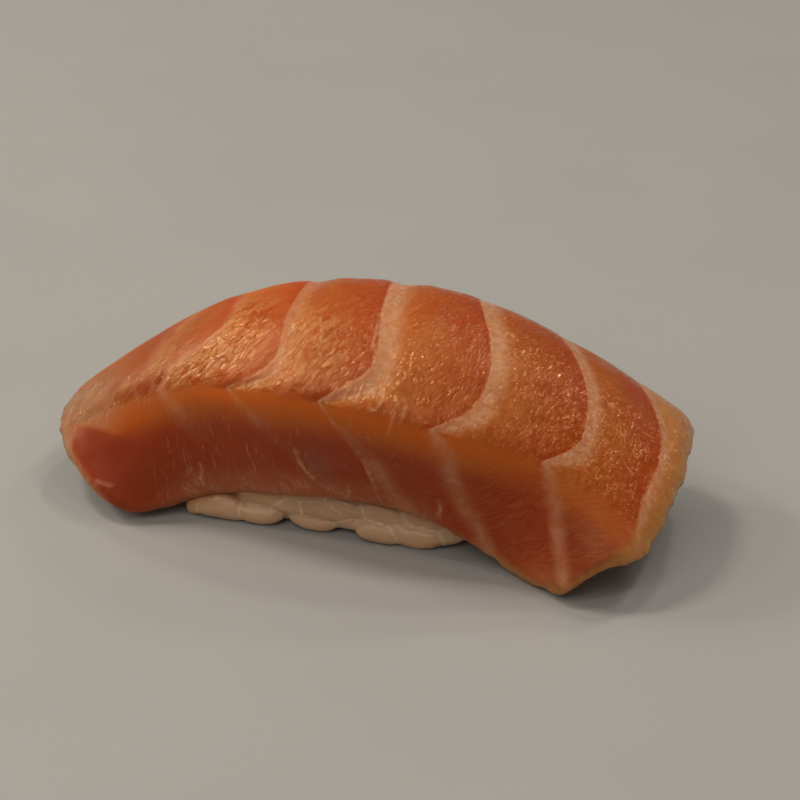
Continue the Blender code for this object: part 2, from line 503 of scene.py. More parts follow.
@dataclass
class SalmonFinish:
    """Translucent orange flesh with pale fat lines and a wet skin."""

    effects: SharedEffects
    deep: Colour = (0.380, 0.044, 0.0002)
    warm: Colour = (0.432, 0.102, 0.0050)
    # dark red: the dark flesh of the left flap, and painted shade down the face below the ridge
    dark_flesh_and_painted_shade: Colour = (0.285, 0.006, 0.0001)
    pale_fibre: Colour = (0.545, 0.176, 0.0300)
    membrane: Colour = (0.590, 0.296, 0.1480)
    # pale film colour: partly the pale wet membrane, partly painted sheen on the upper left of the slice
    film: Colour = (0.640, 0.290, 0.1000)
    # painted glow: bright orange on the face just below the ridge, standing in for light that shines through
    # the thin edge
    painted_ridge_glow: Colour = (0.580, 0.115, 0.0030)
    mauve: Colour = (0.240, 0.080, 0.0600)
    # painted shade: a dark brown blended into the flesh to make parts of it look shaded
    painted_shade: Colour = (0.080, 0.022, 0.0020)
    fat: Colour = (0.616, 0.305, 0.1700)
    fat_shade: Colour = (0.552, 0.220, 0.0920)
    tan: Colour = (0.570, 0.270, 0.0800)
    pink: Colour = (0.500, 0.225, 0.0750)
    dusty: Colour = (0.448, 0.224, 0.1200)
    gloss: Colour = (1.0, 0.70, 0.38)
    gloss_level: float = 0.80
    refraction: float = 1.45
    scatter: Colour = (1.0, 0.30, 0.09)
    scatter_depth: float = 0.0040
    matt: float = 0.50
    wet: float = 0.18
    wrinkle_turn: float = math.radians(-57.0)
    flake_turn: float = math.radians(-68.0)
    fibres: Streaks = Streaks(-42, 3.2, 0.30, 0.42, 0.68)
    left_hairs: Streaks = Streaks(80, 4.6, 0.23, 0.53, 0.70)
    right_hairs: Streaks = Streaks(-66, 2.8, 0.17, 0.58, 0.74)
    wisps: Streaks = Streaks(58, 1.9, 0.19, 0.47, 0.64)
    bands: Streaks = Streaks(0, 2.6, 0.22, 0.46, 0.72)
    creases: Streaks = Streaks(-57, 1.5, 0.16, 0.42, 0.64)

    def __post_init__(self) -> None:
        """Start the material, and the sockets of place that its layers read."""
        self.material, self.sheet, self.shader = new_material("salmon_flesh")
        self.spot = self.sheet.attribute("spot")
        sway = self.sheet.vector("SUBTRACT", self.sheet.noise(self.spot, 0.42, output="Color"), HALVES)
        wide = self.sheet.put("VectorMath", {0: sway, "Scale": 0.9}, operation="SCALE")
        self.bent = self.sheet.vector("ADD", self.spot, wide)

    def mottle(self, scale: float, low: float, high: float) -> Socket:
        """Soft patches on the skin."""
        return self.sheet.place(self.effects.mottle, Vector=self.spot, Scale=scale, Low=low, High=high)

    def noise(self, scale: float, detail: float = 3.0, rough: float = 0.6) -> Socket:
        """Soft noise on the skin."""
        return self.sheet.noise(self.spot, scale, detail, rough)

    def hairs(self, vector: Socket, kind: Streaks, share: Socket) -> Socket:
        """Lay thin hairs on part of the skin.

        Args:
            vector: Places that the hairs follow.
            kind: The hairs.
            share: How much of them shows.

        Returns:
            Their mask.
        """
        mask = self.sheet.place(
            self.effects.fibre,
            Vector=vector,
            Turn=math.radians(kind.turn),
            Length=kind.length,
            Width=kind.width,
            Low=kind.low,
            High=kind.high,
        )
        return self.sheet.times(mask, share)

    def crumple(self, turn: float, length: float, width: float, groove: float) -> Socket:
        """Small tilted plates on the skin."""
        values = {"Vector": self.spot, "Turn": turn, "Length": length, "Width": width, "Groove": groove}
        return self.sheet.place(self.effects.plates, **values)

    def fat_mask(self) -> Socket:
        """Where fat shows: crisp on its left side and soft on its right.

        Returns:
            The mask's socket.
        """
        sheet = self.sheet
        reach, side, strength = sheet.split("fat")
        uneven = sheet.plus(reach, sheet.times(sheet.plus(self.noise(1.4), -0.5), 0.55))
        softness = sheet.span(side, -1.0, 1.0, 0.16, 1.1)
        inner = sheet.plus(1.0, sheet.times(softness, -1.0))
        mask = sheet.span(uneven, inner, sheet.plus(1.0, softness), 1.0, 0.0)
        faint = sheet.span(self.noise(0.33, 2.0, 0.5), 0.38, 0.60, 0.35, 1.0)
        level = sheet.span(strength, 0.35, 0.75, 1.0, 0.0)
        uneven_level = sheet.plus(1.0, sheet.times(level, sheet.plus(faint, -1.0)))
        return sheet.times(sheet.times(mask, strength), uneven_level)

    def flesh(self, tone: Socket) -> Socket:
        """Orange that deepens from one fat line to the next.

        Args:
            tone: 0 just right of a fat line and 1 at the next one.

        Returns:
            The colour's socket.
        """
        sheet = self.sheet
        drift = sheet.plus(tone, sheet.times(sheet.plus(self.mottle(0.32, 0.3, 0.7), -0.5), 0.22))
        base = sheet.blend(sheet.span(drift, 0.05, 0.95), self.warm, self.deep)
        return sheet.blend(sheet.times(self.mottle(3.2, 0.48, 0.72), 0.22), base, self.pale_fibre)

    def make(self) -> Material:
        """Lay the colours, the gloss and the fine relief over each other.

        Returns:
            The salmon material.
        """
        sheet = self.sheet
        tone, wet, grain = sheet.split("flake")
        rim, tan_share, pink_share = sheet.split("rim")
        tip, dark, beyond = sheet.split("zone")
        left_share, flap_share, right_share = sheet.split("veil")
        crest, wisp_share, streak_share = sheet.split("fold")
        dim, lit, mauve = sheet.split("shade")
        fibres = self.hairs(self.bent, self.fibres, flap_share)
        left_hairs = self.hairs(self.bent, self.left_hairs, left_share)
        right_hairs = self.hairs(self.bent, self.right_hairs, right_share)
        wisps = self.hairs(self.bent, self.wisps, wisp_share)
        patchy = sheet.times(streak_share, self.mottle(0.5, 0.35, 0.65))
        streaks = self.hairs(sheet.attribute("band"), self.bands, patchy)
        hairs = sheet.maximum(sheet.maximum(left_hairs, right_hairs), wisps)
        hairs = sheet.times(hairs, self.mottle(0.45, 0.36, 0.60))
        fringe = sheet.plus(rim, sheet.times(self.noise(0.9), 1.6))
        strip = sheet.times(sheet.plus(0.30, sheet.times(self.noise(0.7), 0.6)), beyond)
        tan_mask = sheet.maximum(sheet.times(sheet.span(fringe, 1.1, 3.6, 1.0, 0.0), tan_share), strip)
        pink_mask = sheet.times(sheet.span(fringe, 1.0, 3.2, 0.9, 0.0), pink_share)
        film = self.crumple(self.wrinkle_turn, 1.9, 0.62, 0.09)
        # pale patches on the crumpled film, partly painted sheen
        film_and_painted_sheen = sheet.times(sheet.span(film, -0.22, 0.10, 0.0, 0.42), wet)
        # pale skin along the raised folds, partly a painted highlight on their lips
        pale_folds_and_highlight = sheet.times(crest, sheet.span(self.noise(1.3, 2.0), 0.35, 0.65, 0.25, 0.75))
        layers = (
            # dark flesh on the left flap, and painted shade down the face below the ridge
            (dark, 0.95, self.dark_flesh_and_painted_shade),
            # painted glow on the face just below the ridge
            (lit, 0.68, self.painted_ridge_glow),
            (mauve, 0.45, self.mauve),
            (fibres, 0.22, self.pale_fibre),
            (streaks, 0.26, self.pale_fibre),
            (wisp_share, 0.22, self.membrane),
            (hairs, 0.60, self.membrane),
            (tan_mask, 1.0, self.tan),
            (pink_mask, 1.0, self.pink),
            (tip, 0.80, self.dusty),
            (film_and_painted_sheen, 1.0, self.film),
            # pale folds, partly painted highlight
            (pale_folds_and_highlight, 1.0, self.membrane),
            # painted shade over the upper left, the lower right face and the dark flap
            (dim, 0.31, self.painted_shade),
        )
        colour = self.flesh(tone)
        for share, strength, paint in layers:
            colour = sheet.blend(sheet.times(share, strength), colour, paint)
        fat_mask = self.fat_mask()
        fat = sheet.blend(self.mottle(1.1, 0.35, 0.7), self.fat, self.fat_shade)
        flakes = self.crumple(self.flake_turn, 0.52, 0.25, 0.06)
        reliefs = (
            (fibres, 0.012),
            (hairs, 0.05),
            (streaks, 0.008),
            (sheet.times(film, wet), 0.34),
            (self.hairs(self.bent, self.creases, wet), 0.018),
            (sheet.times(self.noise(2.6), fat_mask), 0.10),
            (sheet.times(flakes, sheet.plus(grain, 0.1)), 0.14),
        )
        height = 0.0
        for relief, height_mm in reliefs:
            height = sheet.plus(height, sheet.times(relief, height_mm))
        damp = sheet.times(sheet.plus(self.mottle(0.8, 0.35, 0.65), -0.5), -0.10)
        rough = sheet.plus(sheet.span(sheet.maximum(wet, grain), 0.0, 0.8, self.matt, self.wet), damp)
        shader_values = {
            "Base Color": sheet.blend(fat_mask, colour, fat),
            "Roughness": rough,
            "Normal": sheet.bump(height, MM),
            "Subsurface Weight": 1.0,
            "Subsurface Radius": self.scatter,
            "Subsurface Scale": self.scatter_depth,
            "IOR": self.refraction,
            "Specular IOR Level": self.gloss_level,
            "Specular Tint": self.gloss,
        }
        sheet.feed(self.shader, shader_values)
        return self.material


@dataclass(frozen=True)
class RiceFinish:
    """Translucent cooked rice, with a painted highlight along the seams between grains and painted shade
    close to the slice.
    """

    plain: Colour = (0.590, 0.350, 0.1850)
    milky: Colour = (0.610, 0.408, 0.2500)
    # painted highlight: a pale colour along the seams between grains
    painted_seam_highlight: Colour = (0.800, 0.610, 0.4200)
    # painted shade: darker, orange rice where it meets the slice
    painted_slice_shade: Colour = (0.440, 0.180, 0.0550)
    scatter: Colour = (1.0, 0.80, 0.60)
    scatter_depth: float = 0.0006

    def make(self, effects: SharedEffects) -> Material:
        """Make the material.

        Args:
            effects: The shared node groups.

        Returns:
            The material.
        """
        material, sheet, shader = new_material("cooked_rice")
        here = sheet.put("TexCoord", {}, "Object")
        seams, slice_shade, tone = sheet.split("press")
        cloud = sheet.place(effects.mottle, Vector=here, Scale=420.0, Low=0.35, High=0.7)
        rice = sheet.blend(sheet.times(sheet.plus(cloud, tone), 0.5), self.plain, self.milky)
        # painted highlight along the seams
        rice = sheet.blend(sheet.times(seams, 0.70), rice, self.painted_seam_highlight)
        # painted shade close to the slice
        rice = sheet.blend(sheet.times(slice_shade, 0.70), rice, self.painted_slice_shade)
        fine = sheet.place(effects.mottle, Vector=here, Scale=1900.0, Low=0.3, High=0.7)
        shader_values = {
            "Base Color": rice,
            "Roughness": sheet.span(cloud, 0.0, 1.0, 0.30, 0.42),
            "Normal": sheet.bump(fine, 0.02 * MM),
            "Subsurface Weight": 1.0,
            "Subsurface Radius": self.scatter,
            "Subsurface Scale": self.scatter_depth,
        }
        sheet.feed(shader, shader_values)
        return material


@dataclass(frozen=True)
class FloorFinish:
    """A plain pale matt floor."""

    pale: Colour = (0.330, 0.330, 0.333)
    shade: Colour = (0.320, 0.320, 0.323)

    def make(self, effects: SharedEffects) -> Material:
        """Make the material.

        Args:
            effects: The shared node groups.

        Returns:
            The material.
        """
        material, sheet, shader = new_material("pale_floor")
        here = sheet.put("TexCoord", {}, "Object")
        cloud = sheet.place(effects.mottle, Vector=here, Scale=30.0, Low=0.3, High=0.7)
        sheet.feed(shader, {"Base Color": sheet.blend(cloud, self.pale, self.shade), "Roughness": 0.6})
        return material


# ---- drape


@dataclass(frozen=True)
class Drape:
    """How the slice hangs over the rice, at stations along its length.

    Across the slice, v runs from the front edge (0) to the back edge (1).
    """

    stations_x: Row = (-0.0385, -0.0310, -0.0200, -0.0060, 0.0090, 0.0230, 0.0310, 0.0385)
    crest_height: Row = (0.0072, 0.0134, 0.0210, 0.0257, 0.0251, 0.0198, 0.0153, 0.0104)
    crest_depth: Row = (-0.0026, -0.0018, -0.0012, -0.0010, -0.0004, -0.0004, -0.0004, -0.0006)
    crest_to_ridge: Row = (0.0044, 0.0061, 0.0101, 0.0146, 0.0164, 0.0143, 0.0153, 0.0190)
    ridge_slope: Row = (27, 29, 34, 38, 39, 36, 36, 38)
    face_slope: Row = (39, 54, 89, 99, 101, 75, 45, 35)
    face_width: Row = (0.0151, 0.0148, 0.0154, 0.0147, 0.0142, 0.0149, 0.0092, 0.0026)
    fold_above: Row = (0.0038, 0.0044, 0.0032, 0.0030, 0.0032, 0.0034, 0.0038, 0.0040)
    fold_length: Row = (0.0080, 0.0080, 0.0066, 0.0064, 0.0066, 0.0068, 0.0074, 0.0080)
    back_width: float = 0.0150
    back_slope: float = 78.0
    crest_share: float = 0.75
    soft_fold: float = 3.0
    ridge_v: float = 0.34
    crest_v: float = 0.66
    path_steps: int = 40
    block: int = 20000

    def at(self, values: Row, x: Array) -> Array:
        """What the drape measures at places along the slice."""
        return curve(self.stations_x, values, x)

    def from_crest(self, x: Array, v: Array) -> Array:
        """Distance over the skin from the crest, positive towards the front.

        Args:
            x: Places along the slice.
            v: Places across it.

        Returns:
            The distances.
        """
        to_ridge = self.at(self.crest_to_ridge, x)
        front = to_ridge + self.at(self.face_width, x) * (1.0 - v / self.ridge_v)
        upper = to_ridge * (self.crest_v - v) / (self.crest_v - self.ridge_v)
        back = self.back_width * (self.crest_v - v) / (1.0 - self.crest_v)
        return np.where(v <= self.ridge_v, front, np.where(v <= self.crest_v, upper, back))

    def above_ridge(self, x: Array, v: Array) -> Array:
        """Distance over the skin above the ridge, negative below it."""
        return self.at(self.crest_to_ridge, x) - self.from_crest(x, v)

    def walk(self, x: Array, v: Array, softness: float) -> Array:
        """Points of one block, from a walk away from the crest.

        Args:
            x: Places along the slice.
            v: Places across it.
            softness: How many times softer than the real one the ridge turns.

        Returns:
            One point for each place.
        """
        to_ridge = np.maximum(self.at(self.crest_to_ridge, x), 0.0005)
        ridge_slope = np.radians(self.at(self.ridge_slope, x))[:, None]
        face_slope = np.radians(self.at(self.face_slope, x))[:, None]
        reach = self.from_crest(x, v)[:, None]
        walked = reach * ((np.arange(self.path_steps) + 0.5) / self.path_steps)
        ramp = ridge_slope * np.clip(walked / (self.crest_share * to_ridge[:, None]), 0.0, 1.0)
        start = (to_ridge - softness * self.at(self.fold_above, x))[:, None]
        length = (softness * self.at(self.fold_length, x))[:, None]
        bend = (face_slope - ridge_slope) * rise(0.0, 1.0, (walked - start) / length)
        back = math.radians(self.back_slope) * rise(0.0, self.back_width, -walked)
        slope = np.where(walked >= 0.0, ramp + bend, -back)
        stride = reach / self.path_steps
        y = self.at(self.crest_depth, x) - np.sum(np.cos(slope) * stride, axis=1)
        z = self.at(self.crest_height, x) - np.sum(np.sin(slope) * stride, axis=1)
        return np.stack([x, y, z], axis=1)

    def points(self, x: Array, v: Array, softness: float = 1.0) -> Array:
        """Points of the drape, worked out block by block."""
        blocks = [slice(start, start + self.block) for start in range(0, len(x), self.block)]
        return np.concatenate([self.walk(x[block], v[block], softness) for block in blocks])

    def normals(self, x: Array, v: Array) -> Array:
        """Outward directions, with the ridge rounded off.

        Args:
            x: Places along the slice.
            v: Places across it.

        Returns:
            One unit direction for each place.
        """
        step_x = 0.0004
        step_v = 0.01
        along = self.points(x + step_x, v, self.soft_fold) - self.points(x - step_x, v, self.soft_fold)
        across = self.points(x, v + step_v, self.soft_fold) - self.points(x, v - step_v, self.soft_fold)
        normal = np.cross(along, across)
        return normal / np.linalg.norm(normal, axis=1)[:, None]


# ---- fat lines


@dataclass(frozen=True)
class FatLine:
    """One fat line: its left side in spot millimetres, above and below the ridge."""

    upper: Row
    lower: Row
    upper_width: float
    lower_width: float
    upper_strength: float
    lower_strength: float
    relief: float
    lower_softness: float
    lower_opening: float
    lower_end: float
    upper_softness: float = 0.0
    cusp_width: float = 0.32


@dataclass(frozen=True)
class FatPattern:
    """All fat lines of the slice, and the muscle between them."""

    upper_mm: Row = (0, 1.5, 3.2, 5, 7, 9.5, 12.5, 16, 20, 26, 34)
    lower_mm: Row = (0, 2.5, 4.5, 7, 11, 18)
    far: float = 6.0
    lines: tuple[FatLine, ...] = (
        FatLine(
            (-47, -44, -39.5, -37, -36, -35.5, -35.2, -35, -35, -35, -35),
            (-47, -45, -44, -43, -41, -38),
            1.5, 1, 0, 0, 0, 1, 3, 99,
        ),
        FatLine(
            (-37.4, -33, -27.9, -26, -25.1, -24.4, -24.1, -24, -24, -24, -24),
            (-37.4, -34.8, -34, -33, -30.5, -26),
            2.4, 1.6, 0.34, 0.20, 0, 1, 1, 6, 1,
        ),
        FatLine(
            (-23.7, -22.9, -21.9, -19.5, -17.3, -16.8, -16.9, -16.9, -16.6, -16.2, -16),
            (-23.7, -21.7, -20.2, -18.3, -14.9, -9),
            1.3, 1.7, 0.40, 0.34, 0.20, 1, 2, 7.5, 0.3, 0.95,
        ),
        FatLine(
            (-14.6, -11.5, -9.7, -9, -9, -9.3, -9.2, -9, -8.8, -8.6, -8.4),
            (-14.6, -12.4, -10.7, -8.5, -4.6, 1.2),
            1.6, 1.2, 0.60, 0.30, 0.66, 1, 2.5, 7.5,
        ),
        FatLine(
            (-3.4, -1.5, 0.6, 1.9, 2.2, 1.95, 1.5, 1.25, 0.9, 0.4, -0.2),
            (-3.4, -1.4, 0.1, 2, 4, 9.5),
            2.3, 2, 0.92, 0.46, 0.80, 0.45, 7.5, 99,
        ),
        FatLine(
            (9.3, 11.6, 13.5, 14.3, 14.6, 14.5, 13.9, 12.7, 11.4, 9.6, 7.6),
            (9.3, 10.3, 10.8, 11.4, 13.6, 18.2),
            1.8, 1.9, 0.96, 0.52, 0.28, 0.9, 1.6, 99, 0, 0.95,
        ),
        FatLine(
            (21.8, 23.4, 24.8, 25.5, 25.6, 25.35, 24.4, 22.7, 20.3, 16.8, 13.4),
            (21.8, 22.4, 23, 23.7, 24.9, 27.1),
            1.45, 1.6, 0.88, 0.55, 0.18, 0.8, 1.2, 99, 0, 0.85,
        ),
        FatLine(
            (32.8, 32.7, 32.85, 33.1, 33.5, 33.8, 33.7, 32.5, 29.6, 26, 22.4),
            (32.8, 33.3, 33.6, 34, 34.7, 36),
            0.9, 0.9, 0.82, 0.50, 0.12, 0.8, 0.5, 12, 0.4,
        ),
        FatLine(
            (44.5, 44.5, 44.6, 44.8, 45, 45, 44.5, 43.5, 41, 37.5, 33.5),
            (44.5, 45, 45.3, 45.6, 46.3, 47.5),
            1.2, 1, 0, 0, 0, 1, 3, 99,
        ),
    )

    def left_side(self, line: FatLine, above: Array) -> Array:
        """Where a line's left side lies, at these distances above the ridge."""
        upper = curve(self.upper_mm, line.upper, np.maximum(above, 0.0))
        return np.where(above >= 0.0, upper, curve(self.lower_mm, line.lower, np.maximum(-above, 0.0)))

    def trace(self, line: FatLine, x: Array, above: Array) -> Array:
        """How one line lies to each spot.

        Args:
            line: The line.
            x: Places along X, in millimetres.
            above: Places above the ridge.

        Returns:
            Rows of its middle, its reach in half widths, its side from -1 to
            1, its strength and its relief.
        """
        upper = (line.upper_width - line.cusp_width) * rise(0.0, 2.2, above)
        lower = (line.lower_width - line.cusp_width) * rise(0.0, line.lower_opening, -above)
        half = 0.5 * (line.cusp_width + np.where(above >= 0.0, upper, lower))
        left = self.left_side(line, above)
        slant = np.sqrt(1.0 + ((self.left_side(line, above + 0.1) - left) / 0.1) ** 2)
        middle = left + half * slant
        reach = (x - middle) / slant / half
        blend = rise(-1.2, 0.6, above)
        side = np.clip(reach, -1.0, 1.0)
        side += (1.0 - side) * (line.lower_softness + (line.upper_softness - line.lower_softness) * blend)
        faded = line.lower_strength * fall(0.5 * line.lower_end, line.lower_end, -above)
        strength = faded + (line.upper_strength - faded) * blend
        relief = line.relief * (0.35 + 0.65 * rise(-3.0, 1.0, above))
        return np.stack([middle, np.abs(reach), side, strength, relief])

    def read(self, x: Array, above: Array) -> Facts:
        """What the fat lines say at each spot.

        Args:
            x: Places along X, in millimetres.
            above: Places above the ridge.

        Returns:
            reach, side and strength of the nearest line, the place between
            two lines, the number and relief of the line to the left, the
            relief of the next one, and the distances from both.
        """
        middles, reaches, sides, strengths, reliefs = np.stack(
            [self.trace(line, x, above) for line in self.lines], axis=1
        )
        column = np.arange(len(x))
        nearest = np.argmin(reaches, axis=0)
        number = np.clip(np.sum(middles <= x, axis=0) - 1, 0, len(self.lines) - 2)
        start = middles[number, column]
        end = middles[number + 1, column]
        return {
            "reach": np.minimum(reaches[nearest, column], self.far),
            "side": sides[nearest, column],
            "strength": strengths[nearest, column],
            "place": np.clip((x - start) / (end - start), 0.0, 1.0),
            "number": number,
            "after": x - start,
            "before": end - x,
            "relief_left": reliefs[number, column],
            "relief_right": reliefs[number + 1, column],
        }


# ---- salmon slice


@dataclass(frozen=True)
class Crinkle:
    """One raised fold of the thin skin: its course in spot millimetres."""

    course: tuple[tuple[float, float], ...]
    height: float
    width: float

    def heights(self, x_mm: Array, above: Array) -> Array:
        """Height of the fold, in millimetres.

        Args:
            x_mm: Places along X.
            above: Places above the ridge.

        Returns:
            One height for each spot.
        """
        knots = np.array(self.course)
        low = knots.min(axis=0) - 3.0 * self.width
        high = knots.max(axis=0) + 3.0 * self.width
        near = (x_mm > low[0]) & (x_mm < high[0]) & (above > low[1]) & (above < high[1])
        spots = np.stack([x_mm[near], above[near]], axis=1)
        best = np.full(len(spots), 1e9)
        share = np.zeros(len(spots))
        for i, (start, end) in enumerate(zip(knots[:-1], knots[1:])):
            course = end - start
            t = np.clip((spots - start) @ course / (course @ course), 0.0, 1.0)
            gap = np.linalg.norm(spots - start - t[:, None] * course, axis=1)
            share = np.where(gap < best, (i + t) / (len(knots) - 1), share)
            best = np.minimum(best, gap)
        taper = np.clip(4.0 * share * (1.0 - share), 0.0, 1.0) ** 0.4
        height = np.zeros(len(x_mm))
        height[near] = self.height * taper * np.exp(-((best / self.width) ** 2))
        return height


@dataclass(frozen=True)
class Patch:
    """A soft patch of skin, in spot millimetres: where it fades in and out."""

    along_in: Row = ()
    along_out: Row = ()
    above_in: Row = ()
    above_out: Row = ()

    def share(self, x_mm: Array, above: Array) -> Array:
        """How much each spot belongs to the patch.

        Args:
            x_mm: Places along X.
            above: Places above the ridge.

        Returns:
            A share for each spot.
        """
        share = np.ones(len(x_mm))
        for zone, fade, value in (
            (self.along_in, rise, x_mm),
            (self.along_out, fall, x_mm),
            (self.above_in, rise, above),
            (self.above_out, fall, above),
        ):
            if zone:
                share *= fade(*zone, value)
        return share


@dataclass(frozen=True)
class SkinZones:
    """Where the slice is hairy, pebbled, filmy or dark, and where painted shade dims it or a painted glow
    lights it.
    """

    wisps: Patch = Patch((-25, -19), (7, 13), (), (-2.5, 0.5))
    streaks: Patch = Patch((), (), (0, 3))
    # dim_left and dim_right: where painted shade darkens the upper left of the slice and its lower right face
    dim_left: Patch = Patch((), (-27, -13), (-4, 0))
    dim_right: Patch = Patch((22, 27), (), (), (-5, -2))
    # lit: where the painted glow lies, on the face just below the ridge
    lit: Patch = Patch((-33, -26), (16, 26), (-5.5, -1), (-0.8, 0.5))
    pebbled: Patch = Patch((-12, -4), (), (-1.5, 2))
    tip_film: Patch = Patch((), (-25, -19), (-1.5, 0.3), (1.5, 5))
    # painted_face_shade: painted shade, darker down the face below the ridge
    painted_face_shade: Patch = Patch((-33, -28), (), (), (-5.5, -1))
    left_hairs: Patch = Patch((-27, -21), (-6, 2), (), (-2.5, 0.5))
    tip_hairs: Patch = Patch((), (-26, -21), (-3, 0.5), (2, 5))
    right_hairs: Patch = Patch((-4, 1), (7, 12), (-10, -6), (-2.5, 0.5))
    fibres: Patch = Patch((4, 14), (), (), (3, 9))


@dataclass
class SalmonSlice:
    """The draped slice, made from a box that is mapped onto the drape."""

    drape: Drape = Drape()
    fat: FatPattern = FatPattern()
    zones: SkinZones = SkinZones()
    coarse: tuple[int, int, int] = (92, 56, 4)
    refine: int = 4
    stations_v: Row = (0, 0.17, 0.34, 0.50, 0.66, 0.83, 1)
    left_end: Row = (-0.0276, -0.0332, -0.0375, -0.0383, -0.0387, -0.0371, -0.0330)
    right_end: Row = (0.0253, 0.0322, 0.0346, 0.0367, 0.0374, 0.0366, 0.0330)
    corner_pull: float = 0.035
    left_front_pull: float = 0.070
    thickness: float = 0.0050
    thinning: tuple[Row, ...] = ((0.78, 0.22), (0.50, 0.35), (0.56, 0.34), (0.70, 0.25))
    rim_rounding: float = 0.0013
    clearance: float = 0.0003
    length: float = 0.0750
    width: float = 0.0456
    middle_y: float = 0.0041
    swell_mm: float = 0.46
    rise_width: float = 3.4
    fall_width: float = 2.4
    notch_mm: float = 0.04
    notch_width: float = 0.35
    swells: tuple[Row, ...] = ((0.09, 6, 5, 11), (0.035, 2.1, 2.4, 12))
    wrinkle_turn: float = 56.0
    crease_mm: float = 0.060
    plate_mm: float = 0.20
    fold_mm: float = 0.09
    wetness: Row = (0.10, 0.35, 1.00, 0.80, 0.20, 0.10, 0.08, 0.05, 0.05)
    rag_waves: tuple[Row, ...] = ((3.1, 0.37, 0.55), (1.1, 0.71, 0.24), (0.45, 0.13, 0.12))
    left_rag: float = 0.22
    right_rag: float = 0.45
    front_rag: float = 0.80
    back_rag: float = 0.35
    dense_x: Row = (-0.75, 0.10, 2.3)
    dense_y: Row = (-0.36, 0.36, 1.8)
    crinkles: tuple[Crinkle, ...] = (
        Crinkle(((-3.3, -0.1), (-2, 0.8), (-0.9, 1.7), (0.3, 2.7), (1.4, 3.8), (2.3, 5.2)), 0.08, 0.22),
        Crinkle(((2.4, 5.4), (2.2, 6.9), (1.7, 8.1), (1.6, 9.8), (1.4, 11.6)), 0.10, 0.18),
        Crinkle(((-2.4, -0.1), (-1.6, 1.1), (-1.2, 1.8)), 0.13, 0.17),
        Crinkle(((-0.4, 0.5), (-0.1, 1.5), (0.3, 2.4)), 0.13, 0.17),
        Crinkle(((1, 0.8), (1.3, 2.2), (1.8, 3.2)), 0.13, 0.17),
        Crinkle(((2.7, 0.3), (3.4, 0.6), (3.8, 1.4), (4, 2), (4.1, 3.2)), 0.13, 0.17),
        Crinkle(((5.3, 2.5), (5.8, 1.4), (5.3, 0.1), (4.9, -2)), 0.08, 0.17),
        Crinkle(((6.3, 2.7), (6.6, 1.2), (6.1, -0.4)), 0.07, 0.17),
        Crinkle(((-5.1, 10.6), (-4.9, 9.6), (-4.2, 7.8), (-4.4, 6.2), (-3.4, 4.5)), 0.07, 0.16),
        Crinkle(((-3.4, 10), (-3.1, 8.9), (-2.3, 7.4), (-2.6, 5.8), (-1.7, 4.1)), 0.05, 0.16),
        Crinkle(((-1.8, 9.2), (-1, 7), (-1.2, 5.2)), 0.04, 0.15),
        Crinkle(((-6.8, 9.6), (-5.8, 6.8), (-6.2, 5.2), (-5.2, 3.4)), 0.06, 0.18),
        Crinkle(((-14.5, -0.1), (-12.8, 0.8), (-11, 1.7), (-9.8, 2.8), (-9.1, 4.2)), 0.08, 0.22),
        Crinkle(((-13.4, -0.1), (-11.6, 0.5), (-9.8, 1.4), (-8.4, 2.6)), 0.06, 0.20),
        Crinkle(((-7.4, 1.3), (-5.9, 2.5), (-4.5, 3.2)), 0.08, 0.22),
        Crinkle(((-23.1, 0.2), (-22.1, 1.7), (-20.7, 2.8), (-19.5, 3.9), (-18.2, 5.1)), 0.09, 0.22),
        Crinkle(((-21.4, 0), (-19.7, 1.3), (-18.2, 2.2), (-16.9, 3.4)), 0.09, 0.22),
        Crinkle(((-17.9, 1), (-16.7, 2.9), (-15.5, 3.9), (-14.4, 5.2)), 0.10, 0.24),
        Crinkle(((-19.1, 4.2), (-18, 5.9), (-16.7, 7.4), (-15.6, 9.3)), 0.12, 0.26),
        Crinkle(((-18.3, -9.6), (-18, -10.6), (-18.3, -11.7), (-17.9, -13.2)), 0.09, 0.20),
        Crinkle(((-6.2, -6.3), (-5.9, -8), (-5.5, -9.1), (-4.7, -10.2), (-4, -11)), 0.10, 0.22),
        Crinkle(((10.3, -9), (10.8, -10.1), (10.4, -11.3), (10.7, -12)), 0.09, 0.20),
        Crinkle(((-0.2, -10.5), (-0.1, -11.7), (-0.5, -13)), 0.07, 0.20),
        Crinkle(((1.8, -6.3), (2.3, -7.7), (2.7, -9.1), (3.2, -10.9)), 0.10, 0.24),
        Crinkle(((-30.7, -8.5), (-29.5, -9.4), (-28.3, -9.9)), 0.08, 0.22),
    )
    piece: bpy.types.Object | None = None

    def box_mesh(self) -> Mesh:
        """A box from -1 to 1, fine on its top and sides and coarse below.

        Returns:
            The box.
        """
        mesh = fine_box(self.coarse)
        flat = []
        for edge in mesh.edges:
            first, second = (vertex.co.z for vertex in edge.verts)
            if min(first, second) > -0.99 and abs(first - second) < 1e-6:
                flat.append(edge)
        bmesh.ops.subdivide_edges(mesh, edges=flat, cuts=self.refine - 1, use_grid_fill=True)
        return mesh

    @staticmethod
    def crowded(position: Array, zone: Row) -> Array:
        """Crowd grid lines into one zone.

        Args:
            position: Even positions from -1 to 1.
            zone: Start and end of the zone, and how much denser its lines lie.

        Returns:
            Uneven positions from -1 to 1.
        """
        low, high, denser = zone
        places = np.linspace(-1.0, 1.0, 801)
        inside = rise(low - 0.12, low + 0.02, places) * fall(high - 0.02, high + 0.12, places)
        density = 1.0 + (denser - 1.0) * inside
        count = np.concatenate([[0.0], np.cumsum(0.5 * (density[1:] + density[:-1]))])
        return np.interp(position, 2.0 * count / count[-1] - 1.0, places)

